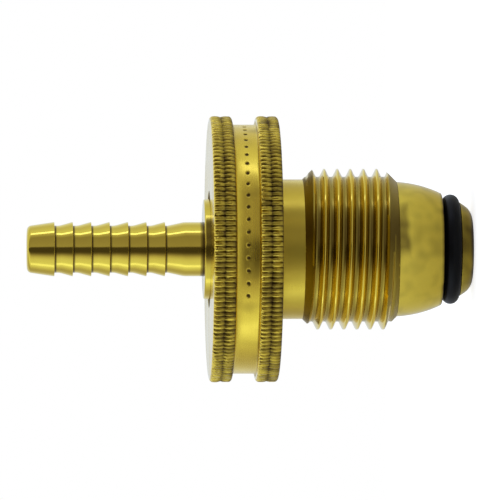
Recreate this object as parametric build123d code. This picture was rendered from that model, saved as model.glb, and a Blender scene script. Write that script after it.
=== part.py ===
from build123d import *

import os
from math import radians, tan

# A hose barb adapter for a gas cylinder, turned from brass. It stands on its nose with the hose barb up.
# Its axis is Z, the nose's flat end lies on z = 0, and sizes are in millimetres.

# Gas passage, drilled right through the nipple
PASSAGE_DIA = 4.5
PASSAGE_CHAMFER = 0.3

# Nose tip, from the flat end up to the ring groove
TIP_LENGTH = 1.76
TIP_END_DIA = 10.67
TIP_LIP_DIA = 13.07
TIP_EDGE_RADIUS = 2.4

# Sealing ring and the clearance it has in its groove
RING_SECTION_DIA = 2.4
RING_INNER_DIA = 10.4
RING_CLEARANCE = 0.06

# Rounded nose, from the ring groove up to the shoulder that the nut pulls on
NOSE_LENGTH = 6.25
NOSE_FACE_DIA = 15.5
NOSE_BASE_DIA = 18.7
NOSE_ARC_RADIUS = 15.9
NOSE_EDGE_RADIUS = 0.25

# Shank that the nut turns on, and how far it stands out of the handwheel
SHANK_DIA = 13.86
SHANK_PROUD = 0.78
SHANK_EDGE_RADIUS = 0.2
SWIVEL_CLEARANCE = 0.1
SHOULDER_GAP = 0.05

# Plain stem between the shank and the first barb
STEM_DIA = 7.5
STEM_LENGTH = 2.75
STEM_TAPER_LENGTH = 2.2
STEM_BLEND_RADIUS = 3.0

# Hose barbs, which point towards the free end, where the rounding is a share of the wall
BARB_COUNT = 7
BARB_PITCH = 2.55
BARB_CREST_DIA = 7.5
BARB_ROOT_DIA = 6.52
BARB_LAND = 0.12
BARB_CONE_LENGTH = 1.75
BARB_FIRST_GAP = 0.4
BARB_TIP_DIA = 6.4
BARB_TIP_LENGTH = 3.8
BARB_TIP_ROUNDING = 1.05

# Threaded sleeve of the nut and the relief behind it
THREAD_DIA = 22.3
THREAD_LENGTH = 13.0
THREAD_END_DIA = 18.9
NECK_DIA = 19.34
NECK_LENGTH = 3.43
NUT_FRONT_CHAMFER = 0.3
NUT_MOUTH_DIA = 16.2

# Left-hand thread of 14 turns to the inch, drawn as closed rings so that its crests stay round walls
THREAD_PITCH = 25.4 / 14
THREAD_DEPTH = 1.11
THREAD_CREST_WIDTH = 0.23
THREAD_FLANK_ANGLE = 26

# Handwheel: two rims, each of two knurled beads, with a waist between them
WHEEL_DIA = 36.9
RIM_WIDTH = 3.1
RIM_BEAD_DEPTH = 0.1
RIM_EDGE_DEPTH = 0.4
RIM_EDGE_WIDTH = 0.3
KNURL_TEETH = 160
KNURL_DEPTH = 0.3
WAIST_DEPTH = 1.2
WAIST_WIDTH = 3.29
WAIST_CORNER = 0.3

# Row of punched marks round part of the waist, with the angle of the first from +X
MARK_COUNT = 18
MARK_SPACING = 5.87
MARK_FIRST_ANGLE = -111.6
MARK_DIA = 0.6
MARK_DEPTH = 0.2

# Heights that follow from the sizes above
RING_GROOVE_WIDTH = RING_SECTION_DIA + 2 * RING_CLEARANCE
RING_GROOVE_TOP = TIP_LENGTH + RING_GROOVE_WIDTH
SHOULDER_HEIGHT = RING_GROOVE_TOP + NOSE_LENGTH
NUT_FRONT = SHOULDER_HEIGHT + SHOULDER_GAP
THREAD_TOP = NUT_FRONT + THREAD_LENGTH
CREST_BOTTOM = NUT_FRONT + (THREAD_DIA - THREAD_END_DIA) / 2
CREST_TOP = THREAD_TOP - (THREAD_DIA - NECK_DIA) / 2
WHEEL_BOTTOM = THREAD_TOP + NECK_LENGTH
WAIST_BOTTOM = WHEEL_BOTTOM + RIM_WIDTH
WAIST_TOP = WAIST_BOTTOM + WAIST_WIDTH
WHEEL_TOP = WAIST_TOP + RIM_WIDTH
SHANK_TOP = WHEEL_TOP + SHANK_PROUD
STEM_TOP = SHANK_TOP + STEM_LENGTH
FIRST_BARB = STEM_TOP + STEM_TAPER_LENGTH + BARB_FIRST_GAP
LAST_BARB = FIRST_BARB + (BARB_COUNT - 1) * BARB_PITCH
TOTAL_HEIGHT = LAST_BARB + BARB_TIP_LENGTH


def at(diameter, height):
    """Point of a half section, at a diameter and a height."""
    return Vector(diameter / 2, height)


def rounded(face, corners):
    """The half section with each listed corner rounded, as (point, radius)."""
    for point, radius in corners:
        face = fillet(face.vertices().sort_by_distance(Vector(point.X, point.Y, 0))[0], radius)
    return face


def turned(outline, corners=()):
    """Solid turned about the fitting's axis from the lines of its half section."""
    face = rounded(Sketch() + make_face(Curve() + outline), corners)
    return revolve(Plane.XZ * face, Axis.Z)


def barb_outline():
    """Points along the hose barbs, from the stem's taper up to the free end's rim."""
    points = []
    for number in range(BARB_COUNT):
        back = FIRST_BARB + number * BARB_PITCH
        points += [at(BARB_ROOT_DIA, back), at(BARB_CREST_DIA, back), at(BARB_CREST_DIA, back + BARB_LAND)]
        if number < BARB_COUNT - 1:
            points.append(at(BARB_ROOT_DIA, back + BARB_LAND + BARB_CONE_LENGTH))
    return points + [at(BARB_TIP_DIA, TOTAL_HEIGHT)]


def barb_nipple():
    """Nose, shank and hose barb, turned as one piece and drilled through."""
    tip_end = at(TIP_END_DIA, 0)
    nose_face = at(NOSE_FACE_DIA, RING_GROOVE_TOP)
    nose_base = at(NOSE_BASE_DIA, SHOULDER_HEIGHT)
    groove_floor_dia = RING_INNER_DIA - 2 * RING_CLEARANCE
    shank_end = at(SHANK_DIA, SHANK_TOP)
    stem_end = at(STEM_DIA, STEM_TOP)
    barb_end = at(BARB_TIP_DIA, TOTAL_HEIGHT)
    mouth_dia = PASSAGE_DIA + 2 * PASSAGE_CHAMFER
    below_nose = Polyline(
        at(mouth_dia, 0),
        tip_end,
        at(TIP_LIP_DIA, TIP_LENGTH),
        at(groove_floor_dia, TIP_LENGTH),
        at(groove_floor_dia, RING_GROOVE_TOP),
        nose_face,
    )
    nose = RadiusArc(nose_face, nose_base, -NOSE_ARC_RADIUS)
    above_nose = Polyline(
        nose_base,
        at(SHANK_DIA, SHOULDER_HEIGHT),
        shank_end,
        at(STEM_DIA, SHANK_TOP),
        stem_end,
        at(BARB_ROOT_DIA, STEM_TOP + STEM_TAPER_LENGTH),
        *barb_outline(),
        at(mouth_dia, TOTAL_HEIGHT),
        at(PASSAGE_DIA, TOTAL_HEIGHT - PASSAGE_CHAMFER),
        at(PASSAGE_DIA, PASSAGE_CHAMFER),
        at(mouth_dia, 0),
    )
    corners = [
        (tip_end, TIP_EDGE_RADIUS),
        (nose_face, NOSE_EDGE_RADIUS),
        (shank_end, SHANK_EDGE_RADIUS),
        (stem_end, STEM_BLEND_RADIUS),
        (barb_end, BARB_TIP_ROUNDING * (BARB_TIP_DIA - mouth_dia) / 2),
    ]
    return turned([below_nose, nose, above_nose], corners)


def nose_o_ring():
    """Rubber ring of round section, seated in the nose's groove."""
    centre = at(RING_INNER_DIA + RING_SECTION_DIA, TIP_LENGTH + RING_GROOVE_WIDTH / 2)
    return revolve(Plane.XZ * Pos(centre.X, centre.Y) * Circle(RING_SECTION_DIA / 2), Axis.Z)


def knurl_ring(dia, height):
    """Corners of the knurl at one height, a crest and a root for each tooth."""
    root_share = 1 - 2 * KNURL_DEPTH / WHEEL_DIA
    half_tooth = 180 / KNURL_TEETH
    reaches = (dia / 2, root_share * dia / 2)
    return [
        Vector(reaches[corner % 2], 0, height).rotate(Axis.Z, corner * half_tooth)
        for corner in range(2 * KNURL_TEETH)
    ]


def knurled_rim(bottom):
    """One rim of the handwheel, a disc with straight knurling over two beads."""
    stations = (
        (0, RIM_EDGE_DEPTH),
        (RIM_EDGE_WIDTH, RIM_BEAD_DEPTH),
        (RIM_WIDTH / 4, 0),
        (RIM_WIDTH / 2, RIM_BEAD_DEPTH),
        (RIM_WIDTH * 3 / 4, 0),
        (RIM_WIDTH - RIM_EDGE_WIDTH, RIM_BEAD_DEPTH),
        (RIM_WIDTH, RIM_EDGE_DEPTH),
    )
    rings = [knurl_ring(WHEEL_DIA - 2 * depth, bottom + height) for height, depth in stations]
    faces = [Face(Wire.make_polygon(ring)) for ring in (rings[0], rings[-1])]
    for lower, upper in zip(rings, rings[1:]):
        for corner in range(2 * KNURL_TEETH):
            flank = (lower[corner - 1], lower[corner], upper[corner], upper[corner - 1])
            faces.append(Face(Wire.make_polygon(flank)))
    return Solid(Shell(faces))


def nut_core():
    """Sleeve for the thread, neck and waist, turned solid."""
    waist_dia = WHEEL_DIA - 2 * WAIST_DEPTH
    flare_dia = waist_dia + 2 * WAIST_CORNER
    return turned(
        Polyline(
            at(0, NUT_FRONT),
            at(THREAD_END_DIA, NUT_FRONT),
            at(THREAD_DIA, CREST_BOTTOM),
            at(THREAD_DIA, CREST_TOP),
            at(NECK_DIA, THREAD_TOP),
            at(NECK_DIA, WHEEL_BOTTOM),
            at(NECK_DIA, WHEEL_BOTTOM + RIM_WIDTH / 2),
            at(flare_dia, WHEEL_BOTTOM + RIM_WIDTH / 2),
            at(flare_dia, WAIST_BOTTOM),
            at(waist_dia, WAIST_BOTTOM + WAIST_CORNER),
            at(waist_dia, WAIST_TOP - WAIST_CORNER),
            at(flare_dia, WAIST_TOP),
            at(flare_dia, WAIST_TOP + RIM_WIDTH / 2),
            at(0, WAIST_TOP + RIM_WIDTH / 2),
            close=True,
        )
    )


def thread_grooves():
    """What the threading tool takes out of the sleeve, as a closed ring for each full turn."""
    slope = tan(radians(THREAD_FLANK_ANGLE))
    overcut = THREAD_CREST_WIDTH / 2
    root_dia = THREAD_DIA - 2 * THREAD_DEPTH
    mouth_dia = THREAD_DIA + 2 * overcut
    half_root = (THREAD_PITCH - THREAD_CREST_WIDTH) / 2 - THREAD_DEPTH * slope
    half_mouth = half_root + (THREAD_DEPTH + overcut) * slope
    ring = turned(
        Polyline(
            at(root_dia, -half_root),
            at(root_dia, half_root),
            at(mouth_dia, half_mouth),
            at(mouth_dia, -half_mouth),
            close=True,
        )
    )
    turns = int((CREST_TOP - CREST_BOTTOM) / THREAD_PITCH)
    lowest = (CREST_BOTTOM + CREST_TOP - (turns - 1) * THREAD_PITCH) / 2
    return [Pos(0, 0, lowest + turn * THREAD_PITCH) * ring for turn in range(turns)]


def nut_bore():
    """What the boring tool takes out of the nut: the shank's hole, bevelled at both mouths."""
    bore_dia = SHANK_DIA + 2 * SWIVEL_CLEARANCE
    mouth_bevel = (NUT_MOUTH_DIA - bore_dia) / 2
    return turned(
        Polyline(
            at(0, NUT_FRONT),
            at(bore_dia + 2 * NUT_FRONT_CHAMFER, NUT_FRONT),
            at(bore_dia, NUT_FRONT + NUT_FRONT_CHAMFER),
            at(bore_dia, WHEEL_TOP - mouth_bevel),
            at(NUT_MOUTH_DIA, WHEEL_TOP),
            at(0, WHEEL_TOP),
            close=True,
        )
    )


def punched_marks():
    """Cones that the centre punch presses into the waist, point inwards."""
    reach = WHEEL_DIA / 2 - WAIST_DEPTH
    height = (WAIST_BOTTOM + WAIST_TOP) / 2
    mark = Cone(0, MARK_DIA, 2 * MARK_DEPTH)
    angles = [MARK_FIRST_ANGLE + number * MARK_SPACING for number in range(MARK_COUNT)]
    return [Rot(0, 0, angle) * Pos(reach, 0, height) * Rot(0, 90, 0) * mark for angle in angles]


def handwheel_nut():
    """Threaded sleeve and spool-shaped handwheel, one piece, bored for the shank."""
    solid = nut_core() - thread_grooves() + knurled_rim(WHEEL_BOTTOM) + knurled_rim(WAIST_TOP)
    return solid - nut_bore() - punched_marks()


PIECES = {
    "barb_nipple": barb_nipple,
    "handwheel_nut": handwheel_nut,
    "nose_o_ring": nose_o_ring,
}

os.makedirs("parts", exist_ok=True)
for node, make in PIECES.items():
    export_step(make(), f"parts/{node}.step")
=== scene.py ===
from math import atan2, ceil, cos, degrees, hypot, pi, radians, sin, sqrt, tan
from random import Random

import bmesh
import bpy
from mathutils import Matrix, Vector, noise


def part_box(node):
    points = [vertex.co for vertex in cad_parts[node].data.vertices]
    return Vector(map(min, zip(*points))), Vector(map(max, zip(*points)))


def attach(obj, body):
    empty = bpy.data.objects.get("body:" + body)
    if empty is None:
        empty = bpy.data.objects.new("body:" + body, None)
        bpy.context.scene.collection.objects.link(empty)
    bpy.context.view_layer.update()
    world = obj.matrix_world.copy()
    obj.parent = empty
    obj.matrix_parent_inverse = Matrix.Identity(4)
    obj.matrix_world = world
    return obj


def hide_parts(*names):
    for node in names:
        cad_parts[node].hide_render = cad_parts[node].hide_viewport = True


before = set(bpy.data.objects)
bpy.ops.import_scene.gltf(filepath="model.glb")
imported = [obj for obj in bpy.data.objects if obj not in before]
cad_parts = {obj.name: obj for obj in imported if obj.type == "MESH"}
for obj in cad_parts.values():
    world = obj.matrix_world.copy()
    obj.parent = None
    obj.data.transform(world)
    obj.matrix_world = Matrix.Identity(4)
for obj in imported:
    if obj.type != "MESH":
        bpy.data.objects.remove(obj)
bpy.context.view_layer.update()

# The object stands on its nose, with its axis along +Z. Shapes are worked out in millimetres.
MM = 0.001
INCH = 25.4


def top_of(name):
    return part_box(name)[1].z / MM


def bottom_of(name):
    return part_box(name)[0].z / MM


def radius_of(name):
    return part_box(name)[1].x / MM


# Heights and radii that the frame gives
BARB_END = top_of("barb_nipple")
NOSE_BASE_RADIUS = radius_of("barb_nipple")
NUT_FRONT = bottom_of("handwheel_nut")
WHEEL_TOP = top_of("handwheel_nut")
WHEEL_RADIUS = radius_of("handwheel_nut")
RING_BOTTOM = bottom_of("nose_o_ring")
RING_TOP = top_of("nose_o_ring")
RING_RADIUS = radius_of("nose_o_ring")

# Broken edges of both turned pieces
EDGE_BREAK = 0.05

# Nipple: passage, tip and ring groove
PASSAGE_RADIUS = 2.25
PASSAGE_CHAMFER = 0.3
TIP_END_RADIUS = 5.335
TIP_LIP_RADIUS = 6.535
TIP_ROUNDING = 2.4
RING_CLEARANCE = 0.06
TIP_LENGTH = RING_BOTTOM - RING_CLEARANCE
GROOVE_TOP = RING_TOP + RING_CLEARANCE
GROOVE_RADIUS = 5.14

# Nipple: rounded nose, shank through the nut and plain stem
NOSE_FACE_RADIUS = 7.75
NOSE_ARC_RADIUS = 15.9
NOSE_ROUNDING = 0.25
SHOULDER_GAP = 0.05
SHOULDER = NUT_FRONT - SHOULDER_GAP
SHANK_RADIUS = 6.93
SHANK_RISE = 0.78
SHANK_TOP = WHEEL_TOP + SHANK_RISE
SHANK_ROUNDING = 0.2
STEM_RADIUS = 3.75
STEM_LENGTH = 2.75
STEM_TOP = SHANK_TOP + STEM_LENGTH
STEM_TAPER = 2.2
STEM_BLEND = 3.0

# Nipple: barbs
BARB_COUNT = 7
BARB_PITCH = 2.55
BARB_TIP_LENGTH = 3.8
LAST_BARB = BARB_END - BARB_TIP_LENGTH
BARB_CREST_RADIUS = 3.75
BARB_ROOT_RADIUS = 3.26
BARB_LAND = 0.12
BARB_CONE = 1.75
BARB_BLEND = 2.0
BARB_TIP_RADIUS = 3.2
BARB_TIP_ROUNDING = 0.68

# Nut: bore and bevelled sleeve
NUT_BORE_RADIUS = 7.03
NUT_MOUTH_RADIUS = 8.1
NUT_FRONT_CHAMFER = 0.3
THREAD_RADIUS = 11.15
THREAD_END_RADIUS = 9.45
THREAD_LENGTH = 13.0
THREAD_TOP = NUT_FRONT + THREAD_LENGTH

# Left-hand thread, with the height of a crest on the side that faces +X and is uppermost in the photograph
THREAD_TURNS_PER_INCH = 14
THREAD_PITCH = INCH / THREAD_TURNS_PER_INCH
THREAD_DEPTH_SHARE = 0.6134
THREAD_DEPTH = THREAD_DEPTH_SHARE * THREAD_PITCH
THREAD_CREST_SHARE = 1 / 8
THREAD_FLANK_ANGLE = radians(26)
THREAD_CREST_AT_X = 22.36

# Thread's profile from the middle of a crest to the middle of a root: offset, depth, soil with painted shade
# that deepens towards the root, and painted sheen with polish
HALF_CREST = THREAD_CREST_SHARE * THREAD_PITCH / 2
HALF_PITCH = THREAD_PITCH / 2
CREST_ROUNDING = 0.04
FLANK_RUN = THREAD_DEPTH * tan(THREAD_FLANK_ANGLE)
ROOT_START = HALF_CREST + FLANK_RUN
THREAD_PROFILE = (
    (0, 0, 0.08, 1),
    (0.7 * HALF_CREST, 0, 0.08, 1),
    (HALF_CREST + CREST_ROUNDING / 2, CREST_ROUNDING, 0.1, 1),
    (HALF_CREST + 0.4 * FLANK_RUN, 0.4 * THREAD_DEPTH, 0.18, 0.8),
    (HALF_CREST + 0.8 * FLANK_RUN, 0.8 * THREAD_DEPTH, 0.25, 0.8),
    (ROOT_START, 0.96 * THREAD_DEPTH, 0.4, 0.7),
    ((ROOT_START + HALF_PITCH) / 2, THREAD_DEPTH, 0.6, 0.5),
    (HALF_PITCH, THREAD_DEPTH, 0.6, 0.5),
)

# Nut: neck with a small fillet, and handwheel with a waist between two beaded rims
NECK_RADIUS = 9.67
NECK_FILLET = 0.2
NECK_FILLET_DIP = 0.06
RIM_WIDTH = 3.1
RIM_BEADS = 2
RIM_BEAD_DEPTH = 0.15
RIM_ROUNDING = 0.4
WAIST_WIDTH = 3.29
WAIST_DEPTH = 1.2
WAIST_CORNER = 0.3
WHEEL_BOTTOM = WHEEL_TOP - 2 * RIM_WIDTH - WAIST_WIDTH
WAIST_BOTTOM = WHEEL_BOTTOM + RIM_WIDTH
WAIST_TOP = WAIST_BOTTOM + WAIST_WIDTH
WAIST_MIDDLE = (WAIST_BOTTOM + WAIST_TOP) / 2
WAIST_RADIUS = WHEEL_RADIUS - WAIST_DEPTH

# Knurl: six steps from one tooth's crest to the next, with their share of the depth, soil with painted shade
# in the valleys, and painted sheen with polish
KNURL_TEETH = 160
KNURL_DEPTH = 0.25
TOOTH_PROFILE = (
    (0.0, 0.22, 0.0),
    (0.2, 0.22, 0.0),
    (0.8, 0.42, 0.0),
    (1.0, 0.65, 0.25),
    (0.5, 0.18, 0.7),
    (0.1, 0.18, 0.25),
)
TOOTH_STEPS = len(TOOTH_PROFILE)

# Uneven teeth: wear below the rim's crests, added soil, lean along the tooth and share of its painted glint
# and polish
TOOTH_SEED = 11
TOOTH_RANGES = {"wear": (0.0, 0.1), "grime": (0.0, 0.3), "lean": (-0.9, 0.9), "polish": (-0.2, 1.3)}

# Punched marks round the waist, by degrees from +X
MARK_COUNT = 18
MARK_SPACING = 5.87
MARK_FIRST_ANGLE = -111.6
MARK_RADIUS = 0.32
MARK_DEPTH = 0.22

# Steps of the meshes
KNURL_STEPS = TOOTH_STEPS * KNURL_TEETH
PLAIN_STEPS = 240
NIPPLE_STEPS = 192
NOSE_ARC_STEPS = 24
ARC_STEP = radians(9)
SPARE_TURNS = 3

# Rows of points: over half a rim by height, over the marks in mark radii, over a cove by degrees
RIM_ROWS = (0, 0.04, 0.12, 0.22, 0.35, 0.52, 0.71, 0.88, 1.06, 1.24, 1.4, 1.5)
MARK_ROWS = (-1.5, -1.15, -0.95, -0.7, -0.45, -0.2, 0, 0.2, 0.45, 0.7, 0.95, 1.15, 1.5)
COVE_ROWS = (0, 30, 60, 90)

# Width of the back face's outer band, which keeps the knurl's steps and fades out the painted highlight on
# the rim's edge
FACE_BAND = 1.0

# Share of a line that one rounded corner may take, and the distance in metres within which points are one
LONGEST_ROUNDING = 0.94
WELD = 1e-6

# Angles past which an edge is shaded sharp
NIPPLE_SHARP = radians(40)
NUT_SHARP = radians(38)
RING_SHARP = radians(60)

# Painted shade, from 0 to 1 once it is clamped, in the corners below the barbs and round the stem's foot
CORNER_SHADE_WIDTH = 0.36
BARB_SHADE = 1.7
BARB_UNSHADED_EDGE = 0.1
FOOT_SHADE = 1.6
FOOT_REACH = 0.5

# Painted shade down one side of the fitting, by the angle from +X of its middle
SIDE_SHADE = 0.17
SIDE_ANGLE = radians(284)
SIDE_FALL = 8

# Soil on the tip and the nose, painted shade along their edges and down one side, with blotches whose grain
# is in millimetres
TIP_SOIL = 0.35
TIP_SIDE_SHARE = 2.2
TIP_SHADED_EDGE = 0.5
NOSE_SOIL = -0.02
NOSE_SHADED_EDGE = 0.4
NOSE_MOTTLE = 0.3
NOSE_GRAIN = 1.5

# Painted shade on the nose beside the nut, by the angle from +X of its middle, with a slanting and rippled
# edge
NOSE_SHADE_ANGLE = radians(288)
NOSE_SHADE_HALF_ANGLE = radians(27)
NOSE_SHADE_WIDTH = 1.5
NOSE_SHADE_SLANT = 0.2
NOSE_SHADE_RIPPLE = 0.06
NOSE_SHADE_RIPPLE_RATE = 9
NOSE_SHADE_SHARPNESS = 2.5
NOSE_SHADE_STRENGTH = 0.55

# Painted shade in the nut's mouth, on the thread's bevels and down one side of the thread and neck, and soil
# on the neck
MOUTH_SHADE = 0.9
BEVEL_SHADE = 0.6
THREAD_SIDE_SHARE = 1.8
NECK_SOIL = 0.16
NECK_SIDE_SHARE = 0.8
NECK_MOTTLE = 0.2
NECK_GRAIN = 2.0

# Soil and painted shade on the handwheel, and its painted highlights: the back face, and each rim's edge
# above a share of its width
BEAD_DIRT_AND_SHADE = 0.45
RIM_MOTTLE = 0.35
RIM_GRAIN = 1.3
COVE_SHADE = 0.3
MARK_SHADE = 3.0
WAIST_MOTTLE = 0.4
WAIST_GRAIN = 2.2
FACE_SHEEN = 0.55
HIGHLIGHT_EDGE = 0.8

# Brass of the nipple and of the nut: colours, range of roughness and height of the turning marks in metres
NIPPLE_BRASS = {
    "bright": (0.84, 0.650, 0.085),
    "dull": (0.74, 0.55, 0.068),
    "roughness": (0.06, 0.14),
    "mark_height": 0.0000018,
}
NUT_BRASS = {
    "bright": (0.85, 0.63, 0.070),
    "dull": (0.755, 0.54, 0.058),
    "roughness": (0.20, 0.33),
    "mark_height": 0.0000020,
}

# Paler brass painted as sheen, which is also smoother, and brown soil and painted shade, which dull the metal
SHEEN_COLOUR = (0.95, 0.71, 0.10)
FRESH_POLISH = 0.24
SOIL_AND_SHADE_COLOUR = (0.095, 0.058, 0.016)
SOIL_AND_SHADE_ROUGHNESS = 0.2

# Noise patterns of the brass as scale, detail and roughness, and how they are stretched and weighed
TURNING_PATTERN = (1.0, 3.0, 0.5)
TURNING_ROUND = 0.6
TURNING_ACROSS = 14000
PATCH_PATTERN = (130.0, 6.0, 0.6)
TARNISH_RANGE = (0.35, 0.75)
SPECK_PATTERN = (2600.0, 2.0, 0.5)
SPECK_HEIGHT = 0.35
PATCH_WEIGHT = 0.7
TURNING_WEIGHT = 0.3
UNEVEN_RANGE = (0.3, 0.7)

# Rubber: black with a faint bloom and a fine grain, whose height is in metres
RUBBER_BLACK = (0.002, 0.002, 0.002)
RUBBER_BLOOM = (0.005, 0.005, 0.006)
RUBBER_ROUGHNESS = (0.34, 0.50)
RUBBER_SPECULAR = 0.14
BLOOM_PATTERN = (420.0, 5.0, 0.5)
BLOOM_RANGE = (0.3, 0.8)
GRAIN_PATTERN = (5200.0, 2.0, 0.5)
GRAIN_STRENGTH = 0.5
GRAIN_HEIGHT = 0.00001

# Camera: the photograph lays the fitting on its side, so the camera is rolled until +X is up
PIXEL = 0.1386 * MM
IMAGE_SIZE = 500
AXIS_ROW = 249.2
NOSE_COLUMN = 472.3
CAMERA_RAISED = radians(2.6)
LENS = 500
SENSOR = 36
CLIP_START = 0.01
CLIP_END = 20

# Brightness of the studio round the fitting's axis, by degrees from -Y towards +X
STUDIO = (
    (-180, 0.74), (-150, 0.74), (-132, 0.52), (-114, 0.48), (-100, 0.68), (-88, 0.90),
    (-76, 0.94), (-62, 0.82), (-52, 0.78), (-44, 0.68), (-36, 0.53), (-28, 0.31),
    (-20, 0.12), (-13, 0.06), (8, 0.06), (12, 0.36), (30, 0.33), (58, 0.30),
    (74, 0.55), (91, 0.76), (104, 0.68), (119, 0.62), (150, 0.82), (180, 0.74),
)

# Tints of the studio where its brightness is 0 and where it is 1
DARK_TINT = (1.05, 0.90, 1.0)
BRIGHT_TINT = (0.97, 1.13, 1.25)

# Strip lamps along the fitting, in metres: name, degrees from -Y towards +X, width and brightness
STRIP_LAMPS = (("upper_strip", 80, 0.09, 1.2), ("lower_strip", -78, 0.12, 0.35))
LAMP_LENGTH = 0.6
LAMP_DISTANCE = 0.6
LAMP_HEIGHT = 0.03
LAMP_COLOUR = (0.95, 1.1, 1.9)

# The floor ends close by, so that the side of the fitting mirrors the dark studio and not the floor
FLOOR_SIZE = 0.36
FLOOR_COLOUR = (0.8, 0.8, 0.8, 1)
FLOOR_ROUGHNESS = 0.9
FLOOR_GLOW_SEEN = 0.72
FLOOR_GLOW_MIRRORED = 0.12
WHITE = (1, 1, 1, 1)


def clamp(value):
    return min(1, max(0, value))


def signed_turn(angle):
    """The same direction as an angle between minus and plus half a turn."""
    return (angle + pi) % (2 * pi) - pi


def arc_points(centre, radius, start, end, least=2):
    """Points on an arc from one angle to another, both ends included, with a least number of steps."""
    count = max(least, ceil(abs(end - start) / ARC_STEP))
    angles = [start + (end - start) * n / count for n in range(count + 1)]
    return [(centre[0] + radius * cos(a), centre[1] + radius * sin(a)) for a in angles]


def rounded_corner(before, corner, after, radius):
    """Points that round one corner of an outline."""
    to_before = Vector(before) - Vector(corner)
    to_after = Vector(after) - Vector(corner)
    half = to_before.angle(to_after) / 2
    longest = LONGEST_ROUNDING * min(to_before.length, to_after.length)
    reach = min(radius / tan(half), longest)
    radius = reach * tan(half)
    to_before.normalize()
    to_after.normalize()
    middle = Vector(corner) + (to_before + to_after).normalized() * radius / sin(half)
    first = Vector(corner) + to_before * reach - middle
    last = Vector(corner) + to_after * reach - middle
    start = atan2(first.y, first.x)
    turn = signed_turn(atan2(last.y, last.x) - start)
    return arc_points(middle, radius, start, start + turn)


def outline_points(corners):
    """Closed outline of (radius, height, rounding) corners, with each rounded corner as an arc."""
    points = []
    for n, (radius, height, rounding) in enumerate(corners):
        if rounding:
            before = corners[n - 1][:2]
            after = corners[(n + 1) % len(corners)][:2]
            points += rounded_corner(before, (radius, height), after, rounding)
        else:
            points.append((radius, height))
    return points


def no_soil_or_shade(angle, radius, height):
    return 0.0


class Skin:
    """Points and faces of a turned piece, gathered patch by patch and welded at the end."""

    def __init__(self):
        self.points = []
        self.soil_and_shade = []
        self.sheen_and_polish = []
        self.faces = []

    def point(self, angle, radius, height, soil_and_shade=0.0, sheen_and_polish=0.0):
        """Adds a point of the surface, with its soil and painted shade and its painted sheen and polish, both
        from 0 to 1.
        """
        self.points.append((radius * cos(angle) * MM, radius * sin(angle) * MM, height * MM))
        self.soil_and_shade.append(soil_and_shade)
        self.sheen_and_polish.append(sheen_and_polish)

    def ring(self, steps, place):
        """Adds a ring of points. For each angle, place gives the other values that point takes."""
        first = len(self.points)
        for n in range(steps):
            angle = 2 * pi * n / steps
            self.point(angle, *place(angle))
        return range(first, first + steps)

    def plain_ring(self, steps, radius, height, soil_and_shade=0.0, sheen_and_polish=0.0):
        """Adds a round ring that looks the same all round."""
        return self.ring(steps, lambda angle: (radius, height, soil_and_shade, sheen_and_polish))

    def ring_with_soil_and_shade(self, steps, radius, height, soil_and_shade):
        """Adds a round ring whose soil and painted shade is a function of angle, radius and height."""
        return self.ring(steps, lambda angle: (radius, height, soil_and_shade(angle, radius, height)))

    def join(self, lower, upper):
        """Faces between two rings, of which one may have several times as many points."""
        if len(lower) < len(upper):
            lower, upper = upper, lower
        ratio = len(lower) // len(upper)
        for n in range(len(upper)):
            here, there = upper[n], upper[(n + 1) % len(upper)]
            fine = [lower[(n * ratio + k) % len(lower)] for k in range(ratio + 1)]
            if ratio == 1:
                self.faces.append((fine[0], fine[1], there, here))
                continue
            half = ratio // 2
            self.faces += [(fine[k], fine[k + 1], here) for k in range(half)]
            self.faces.append((fine[half], there, here))
            self.faces += [(fine[k], fine[k + 1], there) for k in range(half, ratio)]

    def join_all(self, rings):
        """Faces between each ring and the next."""
        for one, other in zip(rings, rings[1:]):
            self.join(one, other)

    def lathe(self, outline, steps, soil_and_shade):
        """Closed outline of (radius, height) points turned about the axis, with its soil and painted shade as
        a function.
        """
        rings = [self.ring_with_soil_and_shade(steps, radius, height, soil_and_shade) for radius, height in outline]
        self.join_all([rings[-1], *rings])

    def build(self, name, sharp_angle):
        """Welds the patches into one smooth-shaded mesh with sharp edges where it turns sharply."""
        mesh = bpy.data.meshes.new(name)
        mesh.from_pydata(self.points, [], self.faces)
        mesh.attributes.new("soil_and_shade", "FLOAT", "POINT").data.foreach_set("value", self.soil_and_shade)
        mesh.attributes.new("sheen_and_polish", "FLOAT", "POINT").data.foreach_set("value", self.sheen_and_polish)
        work = bmesh.new()
        work.from_mesh(mesh)
        bmesh.ops.remove_doubles(work, verts=work.verts, dist=WELD)
        bmesh.ops.dissolve_degenerate(work, edges=work.edges, dist=WELD)
        bmesh.ops.recalc_face_normals(work, faces=work.faces)
        work.to_mesh(mesh)
        work.free()
        mesh.shade_smooth()
        mesh.set_sharp_from_angle(angle=sharp_angle)
        piece = bpy.data.objects.new(name, mesh)
        bpy.context.scene.collection.objects.link(piece)
        return piece


def mottle_at(angle, radius, height, grain):
    """Smooth random value between -1 and 1 at a place on a piece, for blotches of a size."""
    return noise.noise(Vector((radius * cos(angle), radius * sin(angle), height)) / grain)


def side_shade(angle):
    """Painted shade down one side, thickest in its middle."""
    return SIDE_SHADE * max(0, cos(angle - SIDE_ANGLE)) ** SIDE_FALL


def nose_shade(angle, height):
    """Painted shade on the nose beside the nut."""
    across = signed_turn(angle - NOSE_SHADE_ANGLE) / NOSE_SHADE_HALF_ANGLE
    reach = NOSE_SHADE_WIDTH * (1 - NOSE_SHADE_SLANT * across + NOSE_SHADE_RIPPLE * sin(NOSE_SHADE_RIPPLE_RATE * across))
    inside = min(1 - abs(across), (height - SHOULDER + reach) / NOSE_SHADE_WIDTH)
    return NOSE_SHADE_STRENGTH * clamp(NOSE_SHADE_SHARPNESS * inside)


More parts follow.
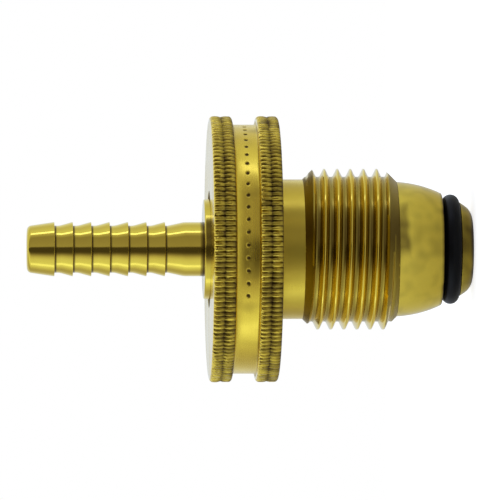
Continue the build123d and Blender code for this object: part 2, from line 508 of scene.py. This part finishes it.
def nipple_soil_and_shade(angle, radius, height):
    """Soil and painted shade on the nipple: painted shade below each barb, round the stem's foot, down one
    side, beside the nut and along the edges of the nose and tip; soil and blotches on the nose and tip.
    """
    if height > STEM_TOP:
        # Painted shade in the corner below each barb, kept off the barb's edge
        below = (LAST_BARB - height) % BARB_PITCH
        corner = clamp(BARB_SHADE * (1 - below / CORNER_SHADE_WIDTH))
        return corner if radius < BARB_CREST_RADIUS - BARB_UNSHADED_EDGE else 0.0
    # Painted shade round the stem's foot
    if height > SHANK_TOP and radius < STEM_RADIUS + FOOT_REACH:
        return clamp(FOOT_SHADE - (height - SHANK_TOP) / CORNER_SHADE_WIDTH)
    if radius < SHANK_RADIUS and height > TIP_LENGTH:
        return 0.0
    # Painted shade down one side of the nose and, more strongly, of the tip
    side = side_shade(angle)
    mottle = NOSE_MOTTLE * mottle_at(angle, radius, height, NOSE_GRAIN)
    if height <= TIP_LENGTH:
        # Painted shade along the rounded edge of the tip's end
        edge = (1 - TIP_SOIL) * clamp(1 - height / TIP_SHADED_EDGE)
        return clamp(TIP_SOIL + TIP_SIDE_SHARE * side + mottle + edge)
    # Painted shade along the nose's edge beside the ring
    edge = clamp(1 - (height - GROOVE_TOP) / NOSE_SHADED_EDGE)
    return clamp(NOSE_SOIL + side + mottle + nose_shade(angle, height) + edge)


def nose_corners():
    """Corners of the rounded nose, from its face at the ring groove up to the shoulder."""
    start = Vector((NOSE_FACE_RADIUS, GROOVE_TOP))
    end = Vector((NOSE_BASE_RADIUS, SHOULDER))
    chord = end - start
    inward = Vector((-chord.y, chord.x)).normalized()
    middle = (start + end) / 2 + inward * sqrt(NOSE_ARC_RADIUS ** 2 - (chord.length / 2) ** 2)
    first = atan2(start.y - middle.y, start.x - middle.x)
    last = atan2(end.y - middle.y, end.x - middle.x)
    face, *rest = arc_points(middle, NOSE_ARC_RADIUS, first, last, NOSE_ARC_STEPS)
    return [(*face, NOSE_ROUNDING), *((*point, 0) for point in rest)]


def barb_corners():
    """Corners of the barbs, from the first above the stem to the last."""
    corners = []
    for number in range(BARB_COUNT):
        back = LAST_BARB - (BARB_COUNT - 1 - number) * BARB_PITCH
        corners += [
            (BARB_ROOT_RADIUS, back - CORNER_SHADE_WIDTH, 0),
            (BARB_ROOT_RADIUS, back - CORNER_SHADE_WIDTH / 2, 0),
            (BARB_ROOT_RADIUS, back, EDGE_BREAK),
            (BARB_CREST_RADIUS, back, EDGE_BREAK),
            (BARB_CREST_RADIUS, back + BARB_LAND, EDGE_BREAK),
        ]
        if number < BARB_COUNT - 1:
            corners.append((BARB_ROOT_RADIUS, back + BARB_LAND + BARB_CONE, BARB_BLEND))
    return corners


def make_nipple():
    """Barb, stem, shank and nose, turned in one and drilled through."""
    mouth = PASSAGE_RADIUS + PASSAGE_CHAMFER
    corners = [
        (mouth, 0, EDGE_BREAK),
        (TIP_END_RADIUS, 0, TIP_ROUNDING),
        (TIP_LIP_RADIUS, TIP_LENGTH, EDGE_BREAK),
        (GROOVE_RADIUS, TIP_LENGTH, EDGE_BREAK),
        (GROOVE_RADIUS, GROOVE_TOP, EDGE_BREAK),
        *nose_corners(),
        (SHANK_RADIUS, SHOULDER, EDGE_BREAK),
        (SHANK_RADIUS, SHANK_TOP, SHANK_ROUNDING),
        (STEM_RADIUS, SHANK_TOP, EDGE_BREAK),
        (STEM_RADIUS, SHANK_TOP + CORNER_SHADE_WIDTH, 0),
        (STEM_RADIUS, SHANK_TOP + FOOT_SHADE * CORNER_SHADE_WIDTH, 0),
        (STEM_RADIUS, STEM_TOP, STEM_BLEND),
        (BARB_ROOT_RADIUS, STEM_TOP + STEM_TAPER, EDGE_BREAK),
        *barb_corners(),
        (BARB_TIP_RADIUS, BARB_END, BARB_TIP_ROUNDING),
        (mouth, BARB_END, EDGE_BREAK),
        (PASSAGE_RADIUS, BARB_END - PASSAGE_CHAMFER, 0),
        (PASSAGE_RADIUS, PASSAGE_CHAMFER, 0),
    ]
    skin = Skin()
    skin.lathe(outline_points(corners), NIPPLE_STEPS, nipple_soil_and_shade)
    return skin.build("turned_nipple", NIPPLE_SHARP)


def thread_envelope(height):
    """Radius of the turned blank that the thread is cut into, bevelled at both ends."""
    front = THREAD_END_RADIUS + (height - NUT_FRONT)
    back = NECK_RADIUS + (THREAD_TOP - height)
    return min(THREAD_RADIUS, front, back)


def thread_stations():
    """Stations over one pitch, as (share of the pitch, depth below the crest, soil and painted shade, painted
    sheen and polish).
    """
    falling = [(offset / THREAD_PITCH, *rest) for offset, *rest in THREAD_PROFILE]
    rising = [(1 - share, *rest) for share, *rest in reversed(falling[1:-1])]
    return falling + rising


def thread_point(angle, height, depth, soil_and_shade, sheen_and_polish):
    """Radius, height, soil and painted shade, and painted sheen and polish of a point of the thread, held to
    the sleeve's ends and bevels.
    """
    height = min(max(height, NUT_FRONT), THREAD_TOP)
    radius = thread_envelope(height)
    if radius < THREAD_RADIUS - depth:
        # Painted shade on the thread's bevels, with no sheen
        soil_and_shade, sheen_and_polish = BEVEL_SHADE, 0
    else:
        radius = THREAD_RADIUS - depth
    # Painted shade down one side of the thread
    return radius, height, clamp(soil_and_shade + THREAD_SIDE_SHARE * side_shade(angle)), sheen_and_polish


def add_thread(skin):
    """Left-hand thread, as columns of points that sink with the helix by one pitch in a turn."""
    stations = thread_stations()
    turns = ceil(THREAD_LENGTH / THREAD_PITCH) + SPARE_TURNS
    turns_below = ceil((THREAD_CREST_AT_X - NUT_FRONT) / THREAD_PITCH) + 1
    lowest = THREAD_CREST_AT_X - turns_below * THREAD_PITCH
    columns = []
    for column in range(PLAIN_STEPS):
        turned = column / PLAIN_STEPS
        angle = 2 * pi * turned
        first = len(skin.points)
        for turn in range(turns):
            for share, *look in stations:
                height = lowest + (turn + share - turned) * THREAD_PITCH
                skin.point(angle, *thread_point(angle, height, *look))
        columns.append(range(first, len(skin.points)))
    one_turn_up = columns[-1][len(stations):]
    for here, there in [*zip(columns, columns[1:]), (one_turn_up, columns[0])]:
        for n in range(len(here) - 1):
            skin.faces.append((here[n], there[n], there[n + 1], here[n + 1]))


def bead_depth(up):
    """How far the rim's beads dip below their crests, at a height above the rim's lower edge."""
    return RIM_BEAD_DEPTH * (1 - abs(sin(RIM_BEADS * pi * up / RIM_WIDTH)))


def rim_envelope(up):
    """How far the turned rim lies below its crests, at a height above the rim's lower edge."""
    from_edge = min(up, RIM_WIDTH - up)
    inset = max(RIM_ROUNDING - from_edge, 0)
    return bead_depth(up) + RIM_ROUNDING - sqrt(RIM_ROUNDING ** 2 - inset ** 2)


def uneven_teeth(chance):
    """Random values for each tooth on each bead of a rim, as lists by name, bead and tooth."""
    return {
        name: [[chance.uniform(*limits) for _ in range(KNURL_TEETH)] for _ in range(RIM_BEADS)]
        for name, limits in TOOTH_RANGES.items()
    }


def rim_point(angle, up, bottom, teeth):
    """Radius, height, soil and painted shade, and painted sheen and polish of a point of a rim, by its height
    above the rim's lower edge.
    """
    step = round(angle / (2 * pi) * KNURL_STEPS)
    cut, soil_and_shade, sheen_and_polish = TOOTH_PROFILE[step % TOOTH_STEPS]
    side = 1 if step % TOOTH_STEPS > TOOTH_STEPS // 2 else -1
    tooth = (step + TOOTH_STEPS // 2) // TOOTH_STEPS % KNURL_TEETH
    number = int(up > RIM_WIDTH / 2)
    wear, grime, lean, polish = (teeth[name][number][tooth] for name in TOOTH_RANGES)
    along = (up * RIM_BEADS / RIM_WIDTH) % 1 - 0.5
    bead = bead_depth(up)
    depth = max(rim_envelope(up), KNURL_DEPTH * cut * (1 + side * lean * along) + bead, wear)
    # Painted highlight on each rim's upper edge
    bright = clamp((up / RIM_WIDTH - HIGHLIGHT_EDGE) / (1 - HIGHLIGHT_EDGE))
    # Painted shade, with some dirt, in the groove between the beads
    groove = 0 if bright else BEAD_DIRT_AND_SHADE * bead / RIM_BEAD_DEPTH
    blotch = RIM_MOTTLE * mottle_at(angle, WHEEL_RADIUS, bottom + up, RIM_GRAIN)
    # Painted shade in the teeth's valleys and the bead groove, with random soil and blotches, kept off the
    # highlighted edge
    soiled_and_shaded = clamp((soil_and_shade + grime) * (1 - bright) + groove + blotch)
    # Painted glint on the teeth, by each tooth's random share
    glint = sheen_and_polish * polish * (1 - bead / RIM_BEAD_DEPTH)
    return WHEEL_RADIUS - depth, bottom + up, soiled_and_shaded, clamp(max(glint, bright))


def add_rim(skin, bottom, chance):
    """One knurled rim, whose teeth run over both beads and are rounded off at the edges."""
    teeth = uneven_teeth(chance)
    ups = [*RIM_ROWS, RIM_WIDTH / 2, *(RIM_WIDTH - up for up in reversed(RIM_ROWS))]
    rings = [skin.ring(KNURL_STEPS, lambda angle: rim_point(angle, up, bottom, teeth)) for up in ups]
    skin.join_all(rings)
    return rings[0], rings[-1]


def mark_share(angle, height):
    """How deep a place on the waist lies in a punched mark, from 0 at the mark's rim to 1 at its point."""
    number = round((degrees(signed_turn(angle)) - MARK_FIRST_ANGLE) / MARK_SPACING)
    if not 0 <= number < MARK_COUNT:
        return 0
    gap = signed_turn(angle - radians(MARK_FIRST_ANGLE + number * MARK_SPACING))
    return max(0, 1 - hypot(gap * WAIST_RADIUS, height - WAIST_MIDDLE) / MARK_RADIUS)


def waist_point(angle, height, flare):
    """Radius, height and soil with painted shade of a point of the waist, with how far the coves flare out at
    its height.
    """
    share = mark_share(angle, height)
    blotch = WAIST_MOTTLE * max(0, mottle_at(angle, WAIST_RADIUS, height, WAIST_GRAIN))
    # Painted shade in the punched marks and the coves, with blotches of soil
    soil_and_shade = clamp(MARK_SHADE * share + COVE_SHADE * flare / WAIST_CORNER + blotch)
    return WAIST_RADIUS + flare - MARK_DEPTH * share, height, soil_and_shade


def add_waist(skin, lower, upper):
    """Waist between the rims, with coved corners and its row of punched marks."""
    coves = []
    for turn in COVE_ROWS:
        rise = WAIST_CORNER * (1 - cos(radians(turn)))
        flare = WAIST_CORNER * (1 - sin(radians(turn)))
        coves.append((rise, flare))
    rows = [(WAIST_BOTTOM + rise, flare) for rise, flare in coves]
    rows += [(WAIST_MIDDLE + share * MARK_RADIUS, 0) for share in MARK_ROWS]
    rows += [(WAIST_TOP - rise, flare) for rise, flare in reversed(coves)]
    rings = [skin.ring(KNURL_STEPS, lambda angle: waist_point(angle, *row)) for row in rows]
    skin.join_all([lower, *rings, upper])


def neck_soil_and_shade(angle, radius, height):
    """Soil on the neck, with painted shade down one side. Its streaks run along the neck, so they are the
    same at every height.
    """
    streak = NECK_MOTTLE * mottle_at(angle, radius, 0, NECK_GRAIN)
    # Painted shade down one side of the neck, with soil and streaks
    return clamp(NECK_SOIL + NECK_SIDE_SHARE * side_shade(angle) + streak)


def add_neck(skin):
    """Neck between the thread and the handwheel, with a fillet at the wheel. Returns its last ring."""
    points = [
        (NECK_RADIUS, THREAD_TOP),
        (NECK_RADIUS, THREAD_TOP + EDGE_BREAK),
        (NECK_RADIUS, WHEEL_BOTTOM - NECK_FILLET - EDGE_BREAK),
        (NECK_RADIUS, WHEEL_BOTTOM - NECK_FILLET),
        (NECK_RADIUS + NECK_FILLET_DIP, WHEEL_BOTTOM - NECK_FILLET_DIP),
        (NECK_RADIUS + NECK_FILLET, WHEEL_BOTTOM),
    ]
    rings = [skin.ring_with_soil_and_shade(PLAIN_STEPS, *point, neck_soil_and_shade) for point in points]
    skin.join_all(rings)
    return rings[-1]


def make_nut():
    """Threaded sleeve and spool-shaped handwheel, one piece."""
    skin = Skin()
    chance = Random(TOOTH_SEED)
    front = [
        # The bore's edge at the mouth takes painted shade
        (NUT_BORE_RADIUS, WHEEL_TOP - (NUT_MOUTH_RADIUS - NUT_BORE_RADIUS), MOUTH_SHADE),
        (NUT_BORE_RADIUS, NUT_FRONT + NUT_FRONT_CHAMFER),
        (NUT_BORE_RADIUS + NUT_FRONT_CHAMFER, NUT_FRONT),
        (THREAD_END_RADIUS - EDGE_BREAK, NUT_FRONT),
        (THREAD_END_RADIUS, NUT_FRONT),
    ]
    bore = [skin.plain_ring(PLAIN_STEPS, *point) for point in front]
    skin.join_all(bore)
    add_thread(skin)
    lower_rim = add_rim(skin, WHEEL_BOTTOM, chance)
    upper_rim = add_rim(skin, WAIST_TOP, chance)
    skin.join(lower_rim[0], add_neck(skin))
    add_waist(skin, lower_rim[1], upper_rim[0])
    back = [
        # Painted reflection on the back face, which is paler and smoother
        skin.plain_ring(KNURL_STEPS, WHEEL_RADIUS - FACE_BAND, WHEEL_TOP, sheen_and_polish=FACE_SHEEN),
        skin.plain_ring(PLAIN_STEPS, NUT_MOUTH_RADIUS + EDGE_BREAK, WHEEL_TOP, sheen_and_polish=FACE_SHEEN),
        # Painted shade on the mouth's chamfer
        skin.plain_ring(PLAIN_STEPS, NUT_MOUTH_RADIUS, WHEEL_TOP - EDGE_BREAK, MOUTH_SHADE),
    ]
    skin.join_all([upper_rim[1], *back, bore[0]])
    return skin.build("knurled_nut", NUT_SHARP)


def make_ring():
    """Rubber ring of round section."""
    section = (RING_TOP - RING_BOTTOM) / 2
    centre = (RING_RADIUS - section, (RING_TOP + RING_BOTTOM) / 2)
    skin = Skin()
    skin.lathe(arc_points(centre, section, 0, 2 * pi)[:-1], NIPPLE_STEPS, no_soil_or_shade)
    return skin.build("rubber_ring", RING_SHARP)


def feed(tree, socket, value):
    """Links an input to another node's output, or sets it to a constant."""
    if isinstance(value, bpy.types.NodeSocket):
        tree.links.new(value, socket)
    else:
        socket.default_value = value


def node(tree, kind, **settings):
    """A shader node whose inputs, or else its own settings, are given by name."""
    made = tree.nodes.new(kind)
    for name, value in settings.items():
        label = name.replace("_", " ")
        if label in made.inputs:
            feed(tree, made.inputs[label], value)
        else:
            setattr(made, name, value)
    return made


def math_node(tree, operation, first, second=0.0):
    made = node(tree, "ShaderNodeMath", operation=operation)
    feed(tree, made.inputs[0], first)
    feed(tree, made.inputs[1], second)
    return made.outputs[0]


def scaled(tree, value, factor):
    return math_node(tree, "MULTIPLY", value, factor)


def object_place(tree):
    return tree.nodes.new("ShaderNodeTexCoord").outputs["Object"]


def turned_place(tree, round_scale, across_scale):
    """Coordinates that vary quickly across the turning marks and slowly round the axis."""
    x, y, z = node(tree, "ShaderNodeSeparateXYZ", Vector=object_place(tree)).outputs
    radius = math_node(tree, "SQRT", math_node(tree, "ADD", scaled(tree, x, x), scaled(tree, y, y)))
    angle = math_node(tree, "ARCTAN2", y, x)
    return node(
        tree,
        "ShaderNodeCombineXYZ",
        X=scaled(tree, math_node(tree, "ADD", radius, z), across_scale),
        Y=scaled(tree, math_node(tree, "COSINE", angle), round_scale),
        Z=scaled(tree, math_node(tree, "SINE", angle), round_scale),
    ).outputs[0]


def noise_pattern(tree, place, pattern):
    """Random values from 0 to 1 over a place, for a pattern of scale, detail and roughness."""
    scale, detail, roughness = pattern
    made = node(tree, "ShaderNodeTexNoise", Vector=place, Scale=scale, Detail=detail, Roughness=roughness)
    return made.outputs["Fac"]


def colour_ramp(tree, factor, stops):
    """Colour by a factor, between stops of (place, colour)."""
    made = node(tree, "ShaderNodeValToRGB", Fac=factor)
    elements = made.color_ramp.elements
    elements[1].position, elements[0].position = stops[-1][0], stops[0][0]
    elements[1].color, elements[0].color = (*stops[-1][1], 1), (*stops[0][1], 1)
    for place, colour in stops[1:-1]:
        elements.new(place).color = (*colour, 1)
    return made.outputs["Color"]


def colour_mix(tree, factor, first, second):
    """The first colour, turned into the constant second one by a factor."""
    mix = node(tree, "ShaderNodeMix", data_type="RGBA")
    colours = [socket for socket in mix.inputs if socket.type == "RGBA"]
    feed(tree, mix.inputs[0], factor)
    feed(tree, colours[0], first)
    feed(tree, colours[1], (*second, 1))
    return next(socket for socket in mix.outputs if socket.type == "RGBA")


def point_value(tree, name):
    """A value that the mesh holds for each of its points."""
    return node(tree, "ShaderNodeAttribute", attribute_name=name).outputs["Fac"]


def new_material(name):
    material = bpy.data.materials.new(name)
    material.use_nodes = True
    tree = material.node_tree
    return material, tree, tree.nodes["Principled BSDF"]


def brass(name, bright, dull, roughness, mark_height):
    """Turned brass: fine turning marks, patches of tarnish, uneven polish, painted sheen, and soil and
    painted shade in its corners.
    """
    material, tree, shader = new_material(name)
    place = object_place(tree)
    marks = noise_pattern(tree, turned_place(tree, TURNING_ROUND, TURNING_ACROSS), TURNING_PATTERN)
    patches = noise_pattern(tree, place, PATCH_PATTERN)
    specks = noise_pattern(tree, place, SPECK_PATTERN)
    soil_and_shade = point_value(tree, "soil_and_shade")
    sheen_and_polish = point_value(tree, "sheen_and_polish")

    tarnish = colour_ramp(tree, patches, tuple(zip(TARNISH_RANGE, (bright, dull))))
    # Painted sheen: by the value each point holds, the brass turns paler and smoother, standing in for
    # highlights and reflections
    with_sheen = colour_mix(tree, sheen_and_polish, tarnish, SHEEN_COLOUR)
    # Soil and painted shade turn the brass dark brown, by the value each point holds
    feed(tree, shader.inputs["Base Color"], colour_mix(tree, soil_and_shade, with_sheen, SOIL_AND_SHADE_COLOUR))
    feed(tree, shader.inputs["Metallic"], 1.0)

    by_patches = scaled(tree, patches, PATCH_WEIGHT)
    uneven = math_node(tree, "ADD", by_patches, scaled(tree, marks, TURNING_WEIGHT))
    polish = node(
        tree,
        "ShaderNodeMapRange",
        Value=uneven,
        From_Min=UNEVEN_RANGE[0],
        From_Max=UNEVEN_RANGE[1],
        To_Min=roughness[0],
        To_Max=roughness[1],
    ).outputs[0]
    smoothed = math_node(tree, "SUBTRACT", polish, scaled(tree, sheen_and_polish, FRESH_POLISH))
    dulled = math_node(tree, "ADD", smoothed, scaled(tree, soil_and_shade, SOIL_AND_SHADE_ROUGHNESS))
    feed(tree, shader.inputs["Roughness"], dulled)

    heights = math_node(tree, "ADD", marks, scaled(tree, specks, SPECK_HEIGHT))
    bump = node(tree, "ShaderNodeBump", Height=heights, Strength=1.0, Distance=mark_height)
    feed(tree, shader.inputs["Normal"], bump.outputs[0])
    return material


def rubber(name):
    """Black moulded rubber with a faint bloom."""
    material, tree, shader = new_material(name)
    place = object_place(tree)
    bloom = noise_pattern(tree, place, BLOOM_PATTERN)
    grain = noise_pattern(tree, place, GRAIN_PATTERN)
    colour = colour_ramp(tree, bloom, tuple(zip(BLOOM_RANGE, (RUBBER_BLACK, RUBBER_BLOOM))))
    feed(tree, shader.inputs["Base Color"], colour)
    feed(tree, shader.inputs["Specular IOR Level"], RUBBER_SPECULAR)
    smooth, rough = RUBBER_ROUGHNESS
    polish = node(tree, "ShaderNodeMapRange", Value=bloom, To_Min=smooth, To_Max=rough)
    feed(tree, shader.inputs["Roughness"], polish.outputs[0])
    bump = node(tree, "ShaderNodeBump", Height=grain, Strength=GRAIN_STRENGTH, Distance=GRAIN_HEIGHT)
    feed(tree, shader.inputs["Normal"], bump.outputs[0])
    return material


def make_camera():
    """Camera with a long lens, which puts the fitting where the photograph has it."""
    data = bpy.data.cameras.new("camera")
    data.lens = LENS
    data.sensor_width = SENSOR
    data.clip_start = CLIP_START
    data.clip_end = CLIP_END
    back = Vector((0, -cos(CAMERA_RAISED), sin(CAMERA_RAISED)))
    up = Vector((1, 0, 0))
    turn = Matrix((up.cross(back), up, back)).transposed().to_4x4()
    along = (NOSE_COLUMN - IMAGE_SIZE / 2) * PIXEL
    lowered = (IMAGE_SIZE / 2 - AXIS_ROW) * PIXEL
    target = Vector((0, 0, along)) - up * lowered
    distance = IMAGE_SIZE * PIXEL * LENS / SENSOR
    camera = bpy.data.objects.new("camera", data)
    camera.matrix_world = Matrix.Translation(target + back * distance) @ turn
    bpy.context.scene.collection.objects.link(camera)
    bpy.context.scene.camera = camera


def studio_stops():
    """Stops of the studio's colours, by the share of a turn from the start of its table."""
    stops = []
    for degrees_round, level in STUDIO:
        tint = [dark + (bright - dark) * level for dark, bright in zip(DARK_TINT, BRIGHT_TINT)]
        stops.append((degrees_round / 360 + 0.5, [level * part for part in tint]))
    return stops


def light_world():
    """White behind the object, and round it the light and dark of a small studio."""
    world = bpy.data.worlds.new("studio")
    bpy.context.scene.world = world
    world.use_nodes = True
    tree = world.node_tree
    tree.nodes.clear()
    toward = tree.nodes.new("ShaderNodeTexCoord").outputs["Generated"]
    x, y, _ = node(tree, "ShaderNodeSeparateXYZ", Vector=toward).outputs
    angle = math_node(tree, "ARCTAN2", x, scaled(tree, y, -1.0))
    turned = math_node(tree, "ADD", scaled(tree, angle, 1 / (2 * pi)), 0.5)
    colour = colour_ramp(tree, turned, studio_stops())
    around = node(tree, "ShaderNodeBackground", Color=colour, Strength=1.0)
    white = node(tree, "ShaderNodeBackground", Color=WHITE, Strength=1.0)
    rays = tree.nodes.new("ShaderNodeLightPath")
    mix = node(tree, "ShaderNodeMixShader", Fac=rays.outputs["Is Camera Ray"])
    feed(tree, mix.inputs[1], around.outputs[0])
    feed(tree, mix.inputs[2], white.outputs[0])
    node(tree, "ShaderNodeOutputWorld", Surface=mix.outputs[0])


def strip_lamp(name, degrees_round, width, level):
    """Long lamp beside the fitting's axis, as bright as level where it is seen."""
    data = bpy.data.lights.new(name, "AREA")
    data.shape = "RECTANGLE"
    data.size = width
    data.size_y = LAMP_LENGTH
    data.energy = level * pi * LAMP_LENGTH * width
    data.color = LAMP_COLOUR
    out = Vector((sin(radians(degrees_round)), -cos(radians(degrees_round)), 0))
    along = Vector((0, 0, 1))
    turn = Matrix((along.cross(out), along, out)).transposed().to_4x4()
    lamp = bpy.data.objects.new(name, data)
    lamp.matrix_world = Matrix.Translation(out * LAMP_DISTANCE + along * LAMP_HEIGHT) @ turn
    bpy.context.scene.collection.objects.link(lamp)


def make_floor():
    """White floor that keeps a faint shadow."""
    bpy.ops.mesh.primitive_plane_add(size=FLOOR_SIZE, location=(0, 0, 0))
    floor = bpy.context.object
    floor.name = "floor"
    material, tree, shader = new_material("white_floor")
    rays = tree.nodes.new("ShaderNodeLightPath")
    seen = scaled(tree, rays.outputs["Is Camera Ray"], FLOOR_GLOW_SEEN)
    mirrored = scaled(tree, rays.outputs["Is Glossy Ray"], FLOOR_GLOW_MIRRORED)
    feed(tree, shader.inputs["Base Color"], FLOOR_COLOUR)
    feed(tree, shader.inputs["Roughness"], FLOOR_ROUGHNESS)
    feed(tree, shader.inputs["Emission Color"], WHITE)
    feed(tree, shader.inputs["Emission Strength"], math_node(tree, "ADD", seen, mirrored))
    floor.data.materials.append(material)


# The three pieces, their materials and their places in the frame
nipple = make_nipple()
nut = make_nut()
ring = make_ring()

nipple.data.materials.append(brass("bright_brass", **NIPPLE_BRASS))
nut.data.materials.append(brass("turned_brass", **NUT_BRASS))
ring.data.materials.append(rubber("black_rubber"))

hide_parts("barb_nipple")
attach(nipple, "nipple")
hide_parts("handwheel_nut")
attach(nut, "handwheel")
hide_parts("nose_o_ring")
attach(ring, "nipple")

# Camera, light and floor
make_camera()
light_world()
for lamp in STRIP_LAMPS:
    strip_lamp(*lamp)
make_floor()
bpy.context.scene.view_settings.view_transform = "Standard"
